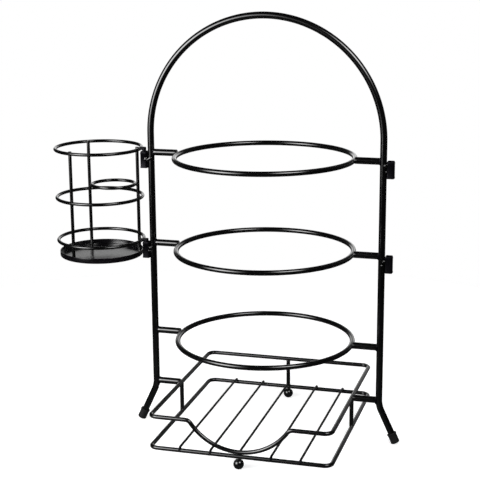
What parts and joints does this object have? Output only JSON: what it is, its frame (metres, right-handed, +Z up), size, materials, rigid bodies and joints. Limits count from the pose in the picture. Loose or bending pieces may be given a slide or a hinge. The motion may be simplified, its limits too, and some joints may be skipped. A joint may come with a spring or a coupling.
{
  "type": "wire plate stand",
  "caption": "Tiered wire plate stand with an arched handle, ring tiers, a low wire basket with a dipped front and a cutlery cup that hangs on the side and lifts off.",
  "frame": {"origin": "bottom centre of the whole stand's box, on the floor; the legs stand 48.05 mm further to +X because the cup hangs on the other side", "axes": "+Z up, +X to the stand's right as seen from the front, +Y to its back"},
  "size_m": [0.427, 0.2488, 0.508],
  "materials": {
    "coated_steel": "semi-gloss black coating on steel wire",
    "coated_sheet": "glossy black coating on steel sheet",
    "rubber": "matte black"
  },
  "bodies": {
    "stand": {"frame_rod": "coated_steel", "foot_cap_left": "rubber", "foot_cap_right": "rubber", "stub_left_top": "coated_steel", "stub_left_middle": "coated_steel", "stub_left_bottom": "coated_steel", "stub_left_basket": "coated_steel", "stub_right_top": "coated_steel", "stub_right_middle": "coated_steel", "stub_right_bottom": "coated_steel", "stub_right_basket": "coated_steel", "plate_ring_top": "coated_steel", "plate_ring_middle": "coated_steel", "plate_ring_bottom": "coated_steel", "pocket_left_upper": "coated_sheet", "pocket_left_lower": "coated_sheet", "pocket_right_upper": "coated_sheet", "pocket_right_lower": "coated_sheet", "basket_upper_frame": "coated_steel", "basket_lower_frame": "coated_steel", "basket_grid_wire_1": "coated_steel", "basket_grid_wire_2": "coated_steel", "basket_grid_wire_3": "coated_steel", "basket_grid_wire_4": "coated_steel", "basket_grid_wire_5": "coated_steel", "basket_riser_left": "coated_steel", "basket_riser_right": "coated_steel", "basket_riser_back": "coated_steel", "ball_foot_front": "coated_steel", "ball_foot_back": "coated_steel"},
    "cup": {"cup_ring_top": "coated_steel", "cup_ring_middle": "coated_steel", "cup_ring_bottom": "coated_steel", "cup_upright_right": "coated_steel", "cup_upright_back": "coated_steel", "cup_upright_front": "coated_steel", "cup_divider_ring": "coated_steel", "cup_pan": "coated_sheet", "cup_hook_upper": "coated_steel", "cup_hook_lower": "coated_steel"}
  },
  "joints": [
    {"name": "cup_lift", "type": "slide", "parent": "stand", "child": "cup", "axis": [0, 0, 1], "range_m": [0, 0.03]}
  ]
}
